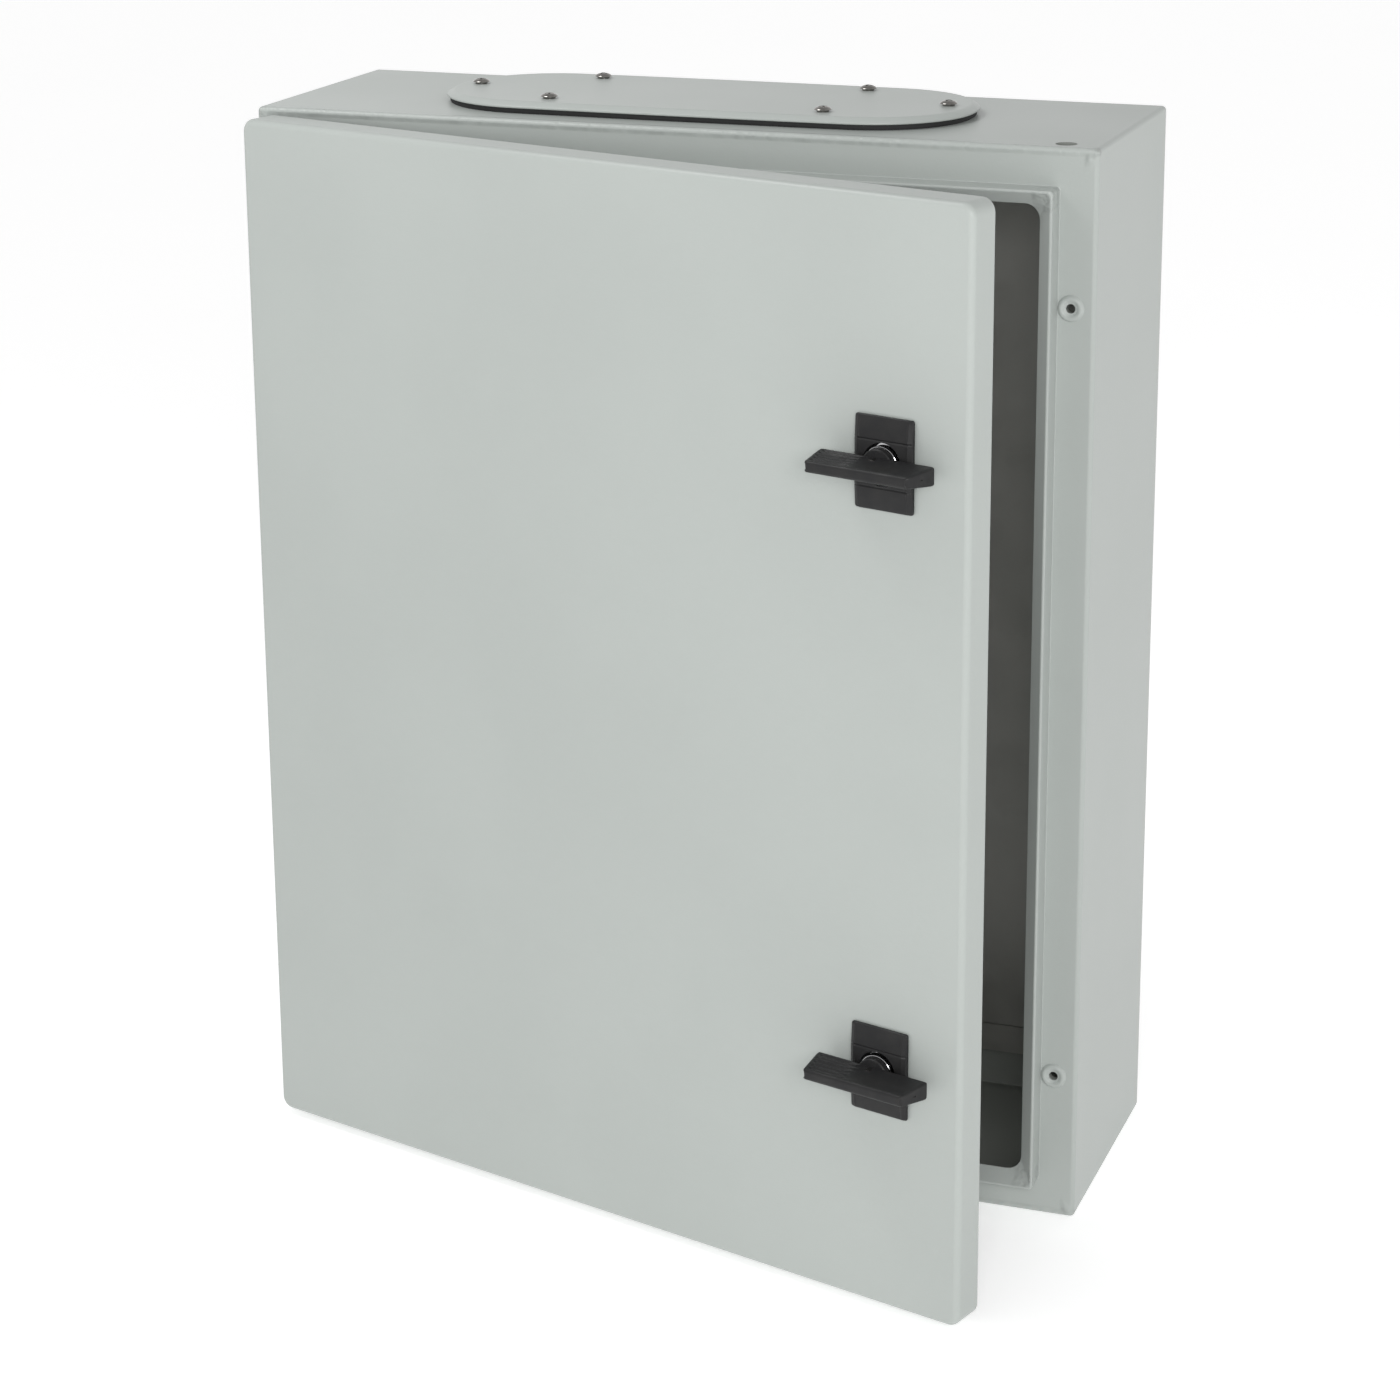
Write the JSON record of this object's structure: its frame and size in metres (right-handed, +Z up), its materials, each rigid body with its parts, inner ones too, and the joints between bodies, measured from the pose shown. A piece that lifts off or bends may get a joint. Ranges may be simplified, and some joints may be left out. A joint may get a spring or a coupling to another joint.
{
  "type": "wall enclosure",
  "caption": "Sheet steel wall enclosure with a hinged door, quarter-turn wing locks, a mounting plate and a gland plate on top.",
  "frame": {"origin": "centre of the four wall fixing holes, on the outside of the back", "axes": "+Z up, +X to the right of a person facing the door, -Y towards that person, +Y into the wall"},
  "size_m": [0.4, 0.2753, 0.5081],
  "materials": {
    "body_paint": "light grey powder coat with a fine orange peel",
    "door_paint": "light grey powder coat with a fine orange peel",
    "gland_paint": "light grey powder coat",
    "bracket_paint": "light grey powder coat on folded steel",
    "galvanised_sheet": "galvanised sheet with a soft spangle",
    "zinc_hardware": "bright zinc plate",
    "stainless": "stainless steel, satin",
    "bright_collar": "bright chrome plate",
    "black_plastic": "black glass-filled nylon with a fine grain",
    "rubber": "black rubber sheet",
    "foam_gasket": "dark foamed sealing bead"
  },
  "bodies": {
    "enclosure": {"body_shell": "body_paint", "front_flange": "body_paint", "rain_lip": "body_paint", "mounting_plate": "galvanised_sheet", "plate_studs": "zinc_hardware", "plate_spacers": "zinc_hardware", "plate_washers": "zinc_hardware", "plate_nuts": "zinc_hardware", "gland_plate": "gland_paint", "gland_gasket": "rubber", "gland_screws": "stainless", "gland_nuts": "zinc_hardware", "body_earth_stud": "zinc_hardware", "body_earth_washer": "zinc_hardware", "body_earth_nut": "zinc_hardware", "hinge_bracket_upper": "bracket_paint", "hinge_bracket_lower": "bracket_paint", "hinge_pin_upper": "stainless", "hinge_pin_lower": "stainless", "hinge_screw_upper": "stainless", "hinge_screw_lower": "stainless"},
    "door": {"door_panel": "door_paint", "door_gasket": "foam_gasket", "hinge_leaf_upper": "bracket_paint", "hinge_leaf_lower": "bracket_paint", "door_earth_stud": "zinc_hardware", "door_earth_washer": "zinc_hardware", "door_earth_nut": "zinc_hardware", "escutcheon_upper": "black_plastic", "escutcheon_lower": "black_plastic", "lock_seal_upper": "rubber", "lock_seal_lower": "rubber", "lock_barrel_upper": "bright_collar", "lock_barrel_lower": "bright_collar", "lock_nut_upper": "zinc_hardware", "lock_nut_lower": "zinc_hardware"},
    "lock_upper": {"wing_upper": "black_plastic", "lock_spindle_upper": "stainless", "cam_upper": "zinc_hardware", "cam_washer_upper": "zinc_hardware", "cam_bolt_upper": "zinc_hardware"},
    "lock_lower": {"wing_lower": "black_plastic", "lock_spindle_lower": "stainless", "cam_lower": "zinc_hardware", "cam_washer_lower": "zinc_hardware", "cam_bolt_lower": "zinc_hardware"}
  },
  "joints": [
    {"name": "door_hinge", "type": "hinge", "parent": "enclosure", "child": "door", "pos_m": [-0.1925, -0.1415, 0], "axis": [0, 0, -1], "range_deg": [-16, 94]},
    {"name": "upper_lock", "type": "hinge", "parent": "door", "child": "lock_upper", "pos_m": [0.14346, -0.23784, 0.135], "axis": [0.2756, 0.9613, 0], "range_deg": [0, 90]},
    {"name": "lower_lock", "type": "hinge", "parent": "door", "child": "lock_lower", "pos_m": [0.14346, -0.23784, -0.135], "axis": [0.2756, 0.9613, 0], "range_deg": [0, 90]}
  ]
}
